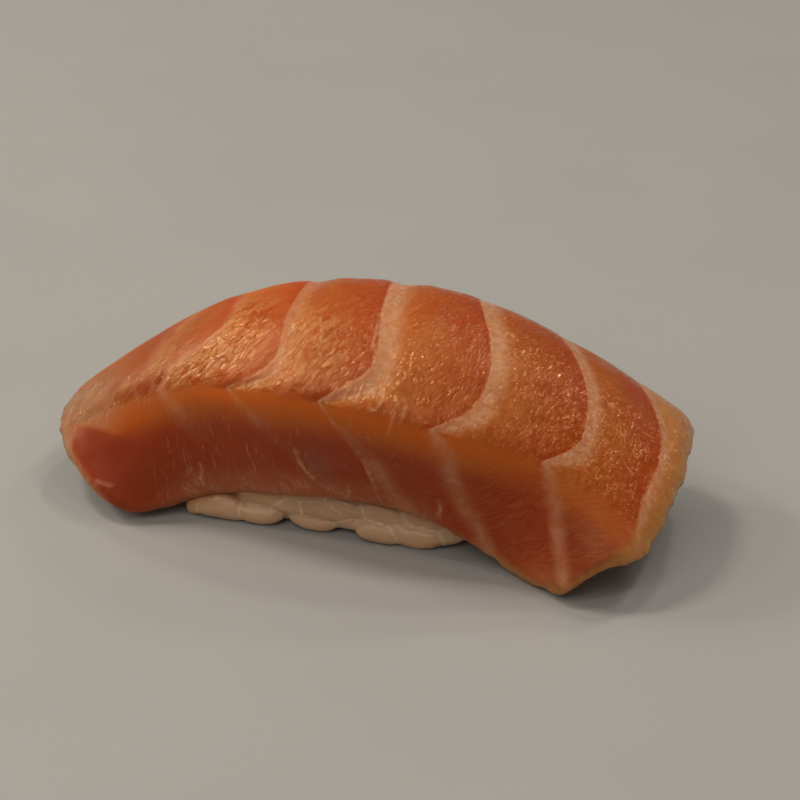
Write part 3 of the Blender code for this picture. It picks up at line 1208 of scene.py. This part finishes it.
    def slab_thickness(self, u: Array, v: Array) -> Array:
        """Thickness of the slab, less towards its four edges.

        Args:
            u: Shares along the slice.
            v: Shares across the slice.

        Returns:
            The thicknesses.
        """
        thickness = self.thickness
        for (thin, reach), share in zip(self.thinning, (u, 1.0 - u, v, 1.0 - v)):
            thickness = thickness * (thin + (1.0 - thin) * rise(0.0, reach, share))
        return thickness

    def ragged(self, along_mm: Array, seed: int) -> Array:
        """How far a cut edge falls back, in millimetres.

        Args:
            along_mm: Places along the edge.
            seed: Which edge.

        Returns:
            One distance for each place.
        """
        fall_back = 0.0
        for i, (wave, offset, depth) in enumerate(self.rag_waves):
            fall_back = fall_back + depth * waves(along_mm / wave, along_mm * 0.0 + offset, seed + i)
        return fall_back

    def relief(self, x_mm: Array, above: Array, facts: Facts) -> Array:
        """Height of the skin's relief, in millimetres.

        Args:
            x_mm: Places along X.
            above: Places above the ridge.
            facts: What the fat lines say there.

        Returns:
            One height for each spot.
        """
        left = 1.0 - facts["relief_left"] * fall(0.0, self.rise_width, facts["after"])
        right = 1.0 - 0.85 * facts["relief_right"] * fall(0.0, self.fall_width, facts["before"])
        notch = self.notch_mm * facts["relief_right"] * np.exp(-((facts["before"] / self.notch_width) ** 2))
        broad = sum(size * waves(x_mm / long, above / wide, seed) for size, long, wide, seed in self.swells)
        return self.swell_mm * left * right - notch + broad + self.wrinkles(x_mm, above, facts)

    def wrinkles(self, x_mm: Array, above: Array, facts: Facts) -> Array:
        """Height of the crumpled wet film, in millimetres.

        Args:
            x_mm: Places along X.
            above: Places above the ridge.
            facts: What the fat lines say there.

        Returns:
            One height for each spot.
        """
        sway = 0.8 * waves(x_mm / 2.7, above / 2.3, 5)
        along, across = turned(x_mm, above, self.wrinkle_turn, 2.3, 0.80)
        creases = np.abs(waves(along + 0.4 * sway, across + sway, 61))
        film = self.crease_mm * (1.0 - np.minimum(1.0, 2.2 * creases)) ** 1.3
        along, across = turned(x_mm, above, self.wrinkle_turn - 8.0, 2.4, 1.15)
        film += self.plate_mm * plates(along + 0.7 * sway, across + sway, 71)
        along, across = turned(x_mm, above, self.wrinkle_turn + 14.0, 1.1, 0.60)
        film += 0.5 * self.plate_mm * plates(along + sway, across - 0.6 * sway, 81)
        return film * self.wet_share(above, facts)

    def wet_share(self, above: Array, facts: Facts) -> Array:
        """Share of wet, wrinkled skin: most on the upper left of the slice."""
        upper = np.array(self.wetness)[facts["number"]] * rise(-0.5, 0.6, above) * fall(10.0, 15.0, above)
        return upper * (1.0 - 0.75 * rise(0.40, 0.80, facts["place"]))

    def build(self, material: Material) -> None:
        """Make the slice, with its relief and its attributes.

        Args:
            material: The salmon material.
        """
        mesh = self.box_mesh()
        box = vertex_places(mesh)
        box[:, 0] = self.crowded(box[:, 0], self.dense_x)
        box[:, 1] = self.crowded(box[:, 1], self.dense_y)
        rim_angle = box[:, 2] * math.pi / 2.0
        side = np.sin(rim_angle)
        inset = self.rim_rounding * (1.0 - np.cos(rim_angle))
        pull = np.where((box[:, 0] < 0.0) & (box[:, 1] < 0.0), self.left_front_pull, self.corner_pull)
        corner = pull * np.abs(box[:, 0]) ** 9 * np.abs(box[:, 1]) ** 5
        u = 0.5 + 0.5 * box[:, 0] * (1.0 - 2.0 * inset / self.length - corner)
        v = 0.5 + 0.5 * box[:, 1] * (1.0 - 2.0 * inset / self.width - corner)
        u, v = self.fray(box, u, v)
        left = curve(self.stations_v, self.left_end, v)
        x = left + (curve(self.stations_v, self.right_end, v) - left) * u
        border = np.minimum(np.minimum(u, 1.0 - u) * self.length, np.minimum(v, 1.0 - v) * self.width)
        x_mm = x / MM
        above = self.drape.above_ridge(x, v) / MM
        facts = self.fat.read(x_mm, above)
        folds = sum(crinkle.heights(x_mm, above) for crinkle in self.crinkles)
        lift = (self.relief(x_mm, above, facts) + folds) * rise(0.0, 0.0025, border) * (side > 0.5)
        below = 0.5 * self.slab_thickness(u, v) * (1.0 - side)
        points = self.drape.points(x, v) - self.drape.normals(x, v) * (below - lift * MM)[:, None]
        points += np.array(self.anchor())
        points[:, 2] = np.maximum(points[:, 2], self.clearance)
        move_vertices(mesh, points)
        bmesh.ops.recalc_face_normals(mesh, faces=mesh.faces)
        self.piece = finish_mesh(mesh, "salmon_fillet", material)
        store(self.piece.data, "spot", x_mm, above, below / MM)
        crest = np.clip(folds / self.fold_mm, 0.0, 1.0)
        for name, columns in self.looks(x_mm, above, border / MM, facts, crest).items():
            store(self.piece.data, name, *columns)

    def looks(
        self, x_mm: Array, above: Array, border_mm: Array, facts: Facts, crest: Array
    ) -> dict[str, tuple[Array, ...]]:
        """What the material reads at each spot.

        Args:
            x_mm: Places along X.
            above: Places above the ridge.
            border_mm: Distances from the cut edge.
            facts: What the fat lines say there.
            crest: Shares of the raised folds.

        Returns:
            Three numbers per spot for each attribute.
        """
        zones = self.zones

        def share(patch: Patch) -> Array:
            """How much each spot belongs to a patch."""
            return patch.share(x_mm, above)

        pale_tip, dark_end = self.left_flap(x_mm, above)
        wisps = share(zones.wisps) * fall(1.5, 6.0, border_mm)
        streaks = share(zones.streaks) * (0.25 + 0.75 * rise(2.0, 12.0, x_mm))
        # painted shade: darker upper left, lower right face, and the dark left flap away from its cut edge
        dim = np.maximum(share(zones.dim_left), share(zones.dim_right))
        dim = np.maximum(dim, 0.55 * dark_end * rise(0.8, 3.2, border_mm))
        mauve = blob(x_mm, above, (-3.6, -8.6), (1.9, 2.2))
        tone = 0.55 + (facts["place"] - 0.55) * (0.35 + 0.38 * rise(-2.5, 1.0, above))
        wet = np.maximum(self.wet_share(above, facts), 0.85 * share(zones.tip_film))
        beyond = (facts["number"] == len(self.fat.lines) - 2).astype(float)
        pale_corner = blob(x_mm, above, (25.5, -15.0), (4.2, 3.4))
        # painted shade down the face, weaker far below the ridge
        painted_face_shade = share(zones.painted_face_shade) * (1.0 - 0.5 * rise(11.0, 17.0, -above))
        left_hairs = share(zones.left_hairs) * (0.40 + 0.35 * rise(4.0, 9.0, -above))
        left_hairs = np.maximum(left_hairs, share(zones.tip_hairs))
        return {
            "fat": (facts["reach"], facts["side"], facts["strength"]),
            "band": (above, facts["after"], 7.3 * facts["number"]),
            "fold": (crest, wisps, streaks),
            "shade": (dim, share(zones.lit), mauve),
            "flake": (tone, np.maximum(wet, 0.75 * pale_tip), share(zones.pebbled)),
            "rim": (border_mm, rise(8.0, 22.0, x_mm), fall(-30.0, -20.0, x_mm)),
            "zone": (pale_tip, np.maximum(dark_end, 0.80 * painted_face_shade), np.maximum(beyond, pale_corner)),
            "veil": (left_hairs, share(zones.fibres), share(zones.right_hairs)),
        }

    @staticmethod
    def left_flap(x_mm: Array, above: Array) -> tuple[Array, Array]:
        """The left flap: its pale tip, and the dark flesh that the tip runs round.

        Args:
            x_mm: Places along X.
            above: Places above the ridge.

        Returns:
            The shares of both.
        """
        over = above + 0.8 + 0.55 * np.maximum(x_mm + 34.0, 0.0)
        pale = np.maximum(rise(-0.3, 0.7, over), rise(-0.2, 0.6, -34.2 - x_mm))
        pale *= fall(-34.5, -27.0, x_mm) * fall(3.0, 8.0, above)
        dark = fall(-0.5, 0.5, over) * rise(-34.5, -33.8, x_mm) * fall(-29.0, -17.0, x_mm)
        return pale, dark * (1.0 - 0.5 * rise(10.0, 15.0, -above))

    def fray(self, box: Array, u: Array, v: Array) -> tuple[Array, Array]:
        """Give the cut edges their uneven outline.

        Args:
            box: Places in the box before it is mapped.
            u: Shares along the slice.
            v: Shares across the slice.

        Returns:
            The new u and v.
        """
        along_u = u * self.length / MM
        along_v = v * self.width / MM
        right = np.clip(box[:, 0], 0.0, 1.0) ** 14 * self.ragged(along_v, 21) * self.right_rag
        left = np.clip(-box[:, 0], 0.0, 1.0) ** 14 * self.ragged(along_v, 31) * self.left_rag
        back = np.clip(box[:, 1], 0.0, 1.0) ** 10 * self.ragged(along_u, 41) * self.back_rag
        front = np.clip(-box[:, 1], 0.0, 1.0) ** 10 * self.ragged(along_u, 51) * self.front_rag
        front *= 0.35 + 0.65 * rise(0.5, 0.75, u)
        return u - (right - left) * MM / self.length, v - (back - front) * MM / self.width

    def anchor(self) -> Vector:
        """Shift from the drape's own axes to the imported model's.

        Returns:
            The shift that puts the ends of the slice where the model has them.
        """
        low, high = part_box("salmon_slice")
        middle_x = 0.5 * (min(self.left_end) + max(self.right_end))
        return Vector((0.5 * (low[0] + high[0]) - middle_x, self.middle_y, 0.0))


# ---- rice bed


@dataclass(frozen=True)
class Grain:
    """One grain that lies in plain sight: its middle, lie and size in millimetres."""

    middle: Place
    tilt: float
    yaw: float
    length: float
    width: float


@dataclass
class RiceBed:
    """The pressed loaf: a solid core covered with single grains."""

    slice_tree: BVHTree
    anchor: Vector
    centre: Row = (-0.0008, -0.0012)
    half_length: float = 0.0230
    front: float = 0.0104
    back: float = 0.0112
    top: float = 0.0226
    widest_z: float = 0.0030
    below: float = 0.0062
    roundness: float = 3.4
    core_segments: tuple[int, int, int] = (56, 28, 24)
    core_inset: float = 0.0013
    axis_height: float = 0.0060
    axis_half_length: float = 0.0130
    under_slice: float = 0.0005
    grain_length: float = 0.0064
    grain_width: float = 0.0028
    grain_depth: float = 0.0022
    spacing: float = 0.0027
    tries: int = 9000
    seed: int = 7
    voxel: float = 0.00027
    smoothing: int = 1
    seam_share: float = 0.11
    # reach of the painted shade under the slice
    slice_shade_reach: float = 0.0016
    laid: list[tuple[Array, Array, Array]] = field(default_factory=list)
    front_grains: tuple[Grain, ...] = (
        Grain((-18.5, -5.3, 1.9), 62, 20, 4.6, 2.7),
        Grain((-15.6, -5.9, 1.4), -3, 6, 6.4, 3.4),
        Grain((-10.8, -5.5, 3.9), -8, 0, 6.8, 2.8),
        Grain((-11.4, -5.8, 1.3), -3, -4, 6.8, 2.5),
        Grain((-7.6, -5.5, 2.8), -12, 0, 5.6, 2.6),
        Grain((-3.2, -5.7, 2.7), -4, 3, 7, 2.8),
        Grain((-4.7, -5.8, 1.1), -8, 2, 6, 2.2),
        Grain((-0.5, -5.6, 3.8), -15, 0, 6, 2.6),
        Grain((-0.6, -5.5, 1.5), -6, 0, 4.8, 2.4),
        Grain((3.3, -6.8, 1.2), -6, -6, 5.4, 2.7),
        Grain((7.7, -6.6, 1.4), -5, 4, 7, 2.9),
        Grain((11.4, -5.9, 1.7), 12, 24, 6, 2.6),
        Grain((3.9, -5.8, 3.2), -14, 0, 7, 2.7),
        Grain((8.7, -5.7, 3.1), -10, 6, 7, 2.7),
    )

    def surface(self, box: Array, inset: float) -> tuple[Array, Array]:
        """Blow a box up to the loaf.

        Args:
            box: Places on a box from -1 to 1.
            inset: How far inside the loaf's outline the result lies.

        Returns:
            The places, and the outward directions there.
        """
        radius = np.sum(np.abs(box) ** self.roundness, axis=1) ** (1.0 / self.roundness)
        ball = box / radius[:, None]
        half_width = np.where(ball[:, 1] < 0.0, self.front, self.back) - inset
        half_height = np.where(ball[:, 2] > 0.0, self.top - self.widest_z, self.below) - inset
        size = np.stack([np.full(len(ball), self.half_length - inset), half_width, half_height], axis=1)
        places = ball * size + np.array((*self.centre, self.widest_z)) + np.array(self.anchor)
        power = np.sign(ball) * np.abs(ball) ** (self.roundness - 1.0) / size
        return places, power / np.linalg.norm(power, axis=1)[:, None]

    def room(self, place: Array) -> tuple[Vector, Vector, float, float]:
        """How far the rice may reach from its axis towards a place.

        Args:
            place: The place on the loaf.

        Returns:
            The point on the axis, the direction, the distance to the place
            and the distance to the slice.
        """
        middle_x = self.centre[0] + self.anchor.x
        along = min(max(place[0], middle_x - self.axis_half_length), middle_x + self.axis_half_length)
        start = Vector((along, self.centre[1] + self.anchor.y, self.axis_height))
        course = Vector(place) - start
        reach = course.length
        course.normalize()
        hit = self.slice_tree.ray_cast(start, course, 0.05)
        return start, course, reach, reach if hit[0] is None else min(reach + 0.002, hit[3])

    def core_mesh(self) -> Mesh:
        """The solid core that the grains lie on.

        Returns:
            The core.
        """
        mesh = fine_box(self.core_segments)
        places, _ = self.surface(vertex_places(mesh), self.core_inset)
        for i, place in enumerate(places):
            start, course, reach, free = self.room(place)
            places[i] = start + course * min(reach, free - self.under_slice)
        places[:, 2] = np.maximum(places[:, 2], self.under_slice)
        move_vertices(mesh, places)
        return mesh

    def add_grain(self, mesh: Mesh, middle: Vector, axes: Matrix, size: Row, twist: float) -> None:
        """Add one plump, slightly bent grain to the joined mesh.

        Args:
            mesh: The mesh of all grains.
            middle: The grain's middle.
            axes: Its own directions: long, wide and deep, as columns.
            size: Its length, width and depth.
            twist: A number that makes each grain its own.
        """
        made = bmesh.ops.create_uvsphere(mesh, u_segments=10, v_segments=7, radius=1.0)
        side, deep, along = np.array([vertex.co[:] for vertex in made["verts"]]).T
        length, width, depth = size
        plump = ((1.0 - np.abs(along) ** 2.7) / np.maximum(1.0 - along**2, 1e-6)) ** 0.5
        plump = np.where(np.abs(along) > 0.999, 1.0, plump)
        bumps = 1.0 + 0.07 * waves(along * 1.3 + 9.0 * twist, side * 1.2 + 5.0 * deep, 17)
        nick = 1.0 - 0.20 * rise(0.55, 0.85, along) * (side > 0.2)
        bend = 1.0 - 2.0 * along**2
        x = 0.5 * length * along
        y = 0.5 * width * side * plump * bumps * nick + 0.10 * width * math.sin(twist) * bend
        z = 0.5 * depth * deep * plump * bumps + 0.05 * depth * math.cos(twist) * bend
        points = np.stack([x, y, z], axis=1) @ np.array(axes).T + np.array(middle)
        points[:, 2] = np.maximum(points[:, 2], 0.0)
        for vertex, point in zip(made["verts"], points):
            vertex.co = point
        self.laid.append((np.array(middle), np.array(axes), 0.5 * np.array(size)))

    @staticmethod
    def axes(normal: Vector, along: Vector, turn: float) -> Matrix:
        """Directions of a grain that lies flat on a surface.

        Args:
            normal: Outward direction of the surface.
            along: Rough direction of the grain.
            turn: Turn about the normal, in radians.

        Returns:
            The long, wide and deep directions as columns.
        """
        wide = normal.cross(along).normalized()
        long = wide.cross(normal).normalized()
        long.rotate(Matrix.Rotation(turn, 3, normal))
        return Matrix((long, normal.cross(long), normal)).transposed()

    def build(self, material: Material) -> bpy.types.Object:
        """Cover the core with grains, the plainly seen ones first, and press them together.

        Args:
            material: The rice material.

        Returns:
            The object of all grains.
        """
        mesh = self.core_mesh()
        taken = []
        facing = Vector((0.0, -0.97, 0.24)).normalized()
        for number, grain in enumerate(self.front_grains):
            tilt = math.radians(grain.tilt)
            yaw = math.radians(grain.yaw)
            along = Vector((math.cos(tilt) * math.cos(yaw), math.sin(yaw), math.sin(tilt)))
            size = (grain.length * MM, grain.width * MM, self.grain_depth)
            taken.append(Vector(grain.middle) * MM)
            self.add_grain(mesh, taken[-1], self.axes(facing, along, 0.0), size, 1.7 * number)
        self.scatter(mesh, taken)
        bmesh.ops.recalc_face_normals(mesh, faces=mesh.faces)
        pressed = self.press(finish_mesh(mesh, "loose_grains", material))
        places = vertex_places(pressed)
        piece = finish_mesh(pressed, "rice_grains", material)
        seams, tone = self.seams(places)
        # painted shade: rice darkens and turns orange close to the slice
        near = np.array([self.slice_tree.find_nearest(place)[3] for place in places])
        store(piece.data, "press", seams, fall(0.0, self.slice_shade_reach, near), tone)
        return piece

    def press(self, loose: bpy.types.Object) -> Mesh:
        """Press grains that overlap into one soft skin.

        Args:
            loose: The object of loose grains, which is removed.

        Returns:
            The mesh of the pressed grains.
        """
        fuse = loose.modifiers.new("fuse", "REMESH")
        fuse.mode = "VOXEL"
        fuse.voxel_size = self.voxel
        mesh = bmesh.new()
        mesh.from_object(loose, bpy.context.evaluated_depsgraph_get())
        bpy.data.objects.remove(loose)
        drop_bubbles(mesh)
        axes = {"use_axis_x": True, "use_axis_y": True, "use_axis_z": True}
        for _ in range(self.smoothing):
            bmesh.ops.smooth_vert(mesh, verts=mesh.verts, factor=0.5, **axes)
        for vertex in mesh.verts:
            vertex.co.z = max(vertex.co.z, 0.0)
        return mesh

    def seams(self, places: Array) -> tuple[Array, Array]:
        """Where two grains meet.

        Args:
            places: Places on the pressed grains.

        Returns:
            The share of a seam at each place, and a tone for each grain.
        """
        best = np.full(len(places), 9.0)
        second = np.full(len(places), 9.0)
        tone = np.full(len(places), 0.5)
        for number, (middle, axes, half) in enumerate(self.laid):
            near = np.flatnonzero(np.linalg.norm(places - middle, axis=1) < 1.3 * half[0])
            share = np.linalg.norm((places[near] - middle) @ axes / half, axis=1)
            closest = share < best[near]
            second[near] = np.minimum(second[near], np.maximum(best[near], share))
            best[near] = np.minimum(best[near], share)
            tone[near[closest]] = (0.618 * number) % 1.0
        return fall(0.0, self.seam_share, second - best), tone

    def scatter(self, mesh: Mesh, taken: list[Vector]) -> None:
        """Scatter the other grains over the loaf.

        Args:
            mesh: The mesh of all grains.
            taken: Middles of the grains that already lie there.
        """
        draw = np.random.default_rng(self.seed)
        box = draw.uniform(-1.0, 1.0, (self.tries, 3))
        face = (np.arange(self.tries), draw.integers(0, 3, self.tries))
        box[face] = np.sign(box[face])
        sunk = 0.45 * self.grain_depth
        for place, normal in zip(*self.surface(box, sunk)):
            turn, jitter, stretch, twist = draw.uniform(-1.0, 1.0, 4)
            if place[2] < 0.0006:
                continue
            start, course, reach, free = self.room(place)
            middle = start + course * (min(reach, free - sunk - 0.0002) + 0.00035 * jitter)
            middle.z = max(middle.z, 0.36 * self.grain_depth)
            if any((middle - other).length < self.spacing for other in taken):
                continue
            along = Vector((0.0, 1.0, 0.0)) if abs(normal[0]) > 0.7 else Vector((1.0, 0.0, 0.0))
            size = (
                self.grain_length * (1.0 + 0.12 * stretch),
                self.grain_width * (1.0 + 0.10 * jitter),
                self.grain_depth * (1.0 - 0.08 * stretch),
            )
            axes = self.axes(Vector(normal), along, 0.9 * turn**3 + 0.35 * turn)
            self.add_grain(mesh, middle, axes, size, 6.0 * twist)
            taken.append(middle)
        LOG.info("rice grains: %d", len(taken))


# ---- studio


@dataclass(frozen=True)
class SoftLight:
    """One square soft light that looks at the piece."""

    name: str
    azimuth: float
    elevation: float
    distance: float
    side: float
    power: float
    colour: Colour


@dataclass
class Studio:
    """Floor, soft lights, dim surroundings and the camera."""

    azimuth: float = 13.0
    elevation: float = 30.0
    camera_distance: float = 0.300
    lens: float = 113.4
    aim_right: float = 0.00274
    aim_up: float = 0.0107
    origin: Place = (0.0006, 0.0041, 0.0)
    light_target: Place = (0.0, 0.0, 0.012)
    floor_size: float = 6.0
    surroundings: Colour = (1.0, 0.97, 0.93)
    surroundings_strength: float = 0.14
    lights: tuple[SoftLight, ...] = (
        SoftLight("key", -103, 34, 0.60, 0.11, 0.80, (1, 0.91, 0.75)),
        SoftLight("glint", -88, 26, 0.60, 0.05, 0.28, (1, 0.91, 0.75)),
        SoftLight("high", -104, 62, 0.60, 0.11, 1.15, (1, 0.91, 0.75)),
        SoftLight("sheen", -84, 46, 0.60, 0.07, 0.34, (1, 0.91, 0.75)),
        SoftLight("sparkle_back", 162, 62, 0.70, 0.07, 0.58, (1, 0.92, 0.78)),
        SoftLight("sparkle_low", 147, 43, 0.70, 0.07, 0.45, (1, 0.92, 0.78)),
        SoftLight("sparkle_right", 110, 66, 0.70, 0.07, 0.48, (1, 0.92, 0.78)),
        SoftLight("sparkle_front", 52, 67, 0.70, 0.07, 0.34, (1, 0.92, 0.78)),
        SoftLight("fill", -15, 48, 0.60, 0.40, 1.00, (1, 0.92, 0.82)),
    )

    @staticmethod
    def direction(azimuth: float, elevation: float) -> Vector:
        """Direction from the piece.

        Args:
            azimuth: Degrees from -Y towards +X.
            elevation: Degrees above the floor.

        Returns:
            The direction.
        """
        a = math.radians(azimuth)
        e = math.radians(elevation)
        return Vector((math.sin(a) * math.cos(e), -math.cos(a) * math.cos(e), math.sin(e)))

    @staticmethod
    def hang(name: str, data: bpy.types.ID, place: Vector, back: Vector) -> bpy.types.Object:
        """Put a light or camera at a place, with its back to a direction.

        Args:
            name: Name of the object.
            data: The light or camera.
            place: Where it goes.
            back: Direction away from what it looks at.

        Returns:
            The new object.
        """
        thing = bpy.data.objects.new(name, data)
        thing.location = place
        thing.rotation_mode = "QUATERNION"
        thing.rotation_quaternion = back.to_track_quat("Z", "Y")
        bpy.context.scene.collection.objects.link(thing)
        return thing

    def add_floor(self, material: Material) -> None:
        """Lay the floor under the piece.

        Args:
            material: The floor material.
        """
        mesh = bmesh.new()
        bmesh.ops.create_grid(mesh, x_segments=8, y_segments=8, size=0.5 * self.floor_size)
        floor = finish_mesh(mesh, "floor", material)

    def add_lights(self) -> None:
        """Hang the soft lights and set the dim surroundings."""
        for light in self.lights:
            data = bpy.data.lights.new(light.name, "AREA")
            data.shape = "SQUARE"
            data.size = light.side
            data.energy = light.power
            data.color = light.colour
            away = self.direction(light.azimuth, light.elevation)
            self.hang(light.name, data, Vector(self.light_target) + away * light.distance, away)
        world = bpy.data.worlds.new("studio")
        world.use_nodes = True
        back = world.node_tree.nodes["Background"]
        back.inputs["Color"].default_value = (*self.surroundings, 1.0)
        back.inputs["Strength"].default_value = self.surroundings_strength
        bpy.context.scene.world = world

    def add_camera(self) -> None:
        """Set the camera at the viewing angle."""
        a = math.radians(self.azimuth)
        back = self.direction(self.azimuth, self.elevation)
        right = Vector((math.cos(a), math.sin(a), 0.0))
        target = Vector(self.origin) + right * self.aim_right + back.cross(right) * self.aim_up
        data = bpy.data.cameras.new("camera")
        data.lens = self.lens
        data.sensor_width = 36.0
        data.clip_start = 0.01
        data.clip_end = 20.0
        scene = bpy.context.scene
        scene.camera = self.hang("camera", data, target + back * self.camera_distance, back)
        scene.view_settings.view_transform = "Standard"


def main() -> None:
    """Build the nigiri and the studio."""
    logging.basicConfig(level=logging.INFO, format="%(name)s: %(message)s")
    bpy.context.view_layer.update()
    effects = SharedEffects()
    salmon = SalmonSlice()
    salmon.build(SalmonFinish(effects).make())
    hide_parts("salmon_slice")
    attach(salmon.piece, "root")
    LOG.info("%s: %d faces", salmon.piece.name, len(salmon.piece.data.polygons))
    slice_tree = BVHTree.FromObject(salmon.piece, bpy.context.evaluated_depsgraph_get())
    rice = RiceBed(slice_tree, salmon.anchor()).build(RiceFinish().make(effects))
    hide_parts("rice")
    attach(rice, "root")
    LOG.info("%s: %d faces", rice.name, len(rice.data.polygons))
    studio = Studio()
    studio.add_floor(FloorFinish().make(effects))
    studio.add_lights()
    studio.add_camera()


if __name__ == "__main__":
    main()
